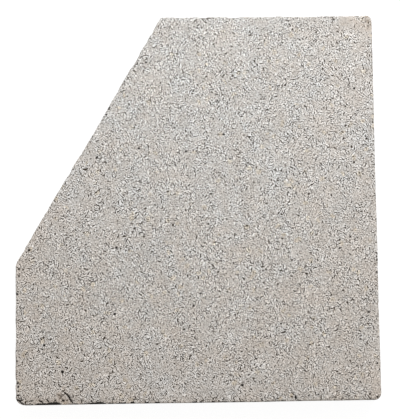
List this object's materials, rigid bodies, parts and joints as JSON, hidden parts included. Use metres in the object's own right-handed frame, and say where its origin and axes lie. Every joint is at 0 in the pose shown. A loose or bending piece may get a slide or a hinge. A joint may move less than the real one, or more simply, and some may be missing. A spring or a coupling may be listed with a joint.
{
  "type": "stove firebrick",
  "caption": "Flat refractory side brick for a wood stove: a pressed vermiculite slab, a rectangle with its upper rear corner sawn off at a slant.",
  "frame": {"origin": "middle of the outline's box, on the back face that the slab lies on", "axes": "+X along the foot edge towards the tall edge, +Y along the tall edge away from the foot, +Z through the thickness towards the front face"},
  "size_m": [0.232, 0.25, 0.025],
  "materials": {
    "firebrick": "matte"
  },
  "bodies": {
    "root": {"firebrick": "firebrick"}
  },
  "joints": []
}
